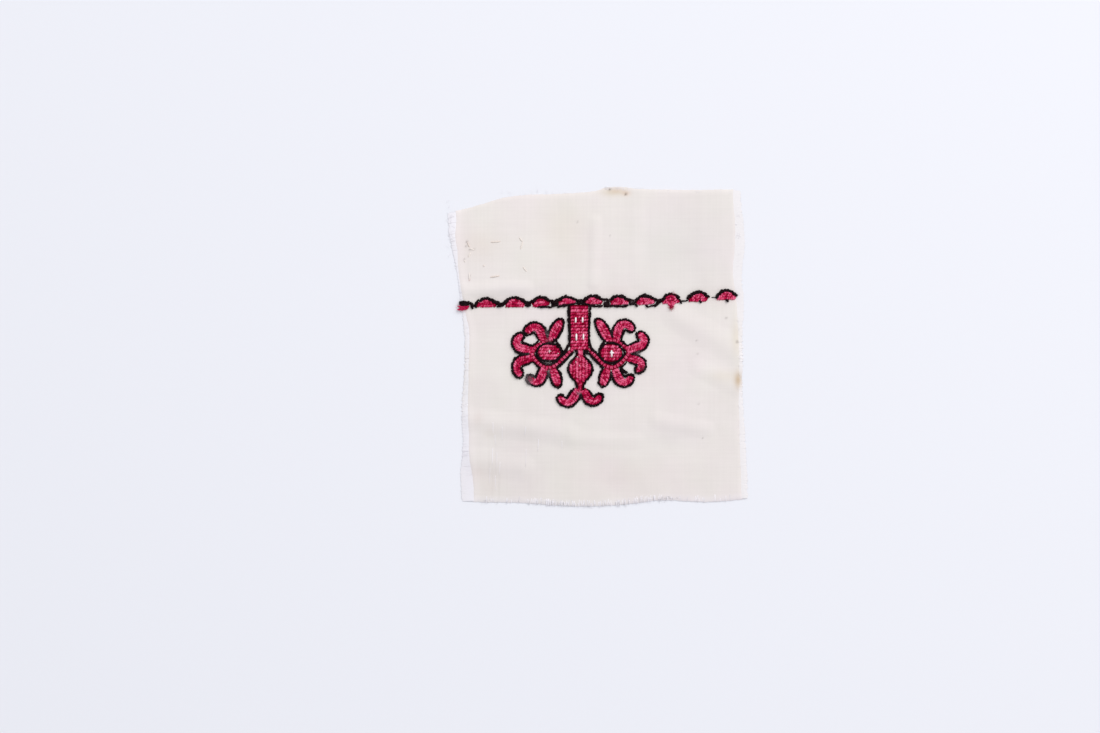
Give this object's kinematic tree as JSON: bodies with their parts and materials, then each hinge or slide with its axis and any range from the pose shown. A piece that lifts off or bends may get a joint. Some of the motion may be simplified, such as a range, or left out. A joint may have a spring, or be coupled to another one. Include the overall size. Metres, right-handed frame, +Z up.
{
  "type": "embroidered cotton cloth",
  "caption": "Small hand-cut rectangle of plain cotton lying flat, with a scalloped border and a branching flower motif in crimson and black stitches.",
  "frame": {"origin": "middle of the bounding box, on the surface that the cloth lies on", "axes": "+Z up out of the embroidered face, +Y up the motif towards the edge above the border, +X across the cloth to the right as the motif is seen"},
  "size_m": [0.0771, 0.083, 0.0015],
  "materials": {
    "cotton": "matte",
    "black_thread": "satin",
    "crimson_thread": "satin",
    "white_thread": "satin",
    "cream_thread": "matte"
  },
  "bodies": {
    "root": {"ground_cloth": "cotton"}
  },
  "joints": []
}
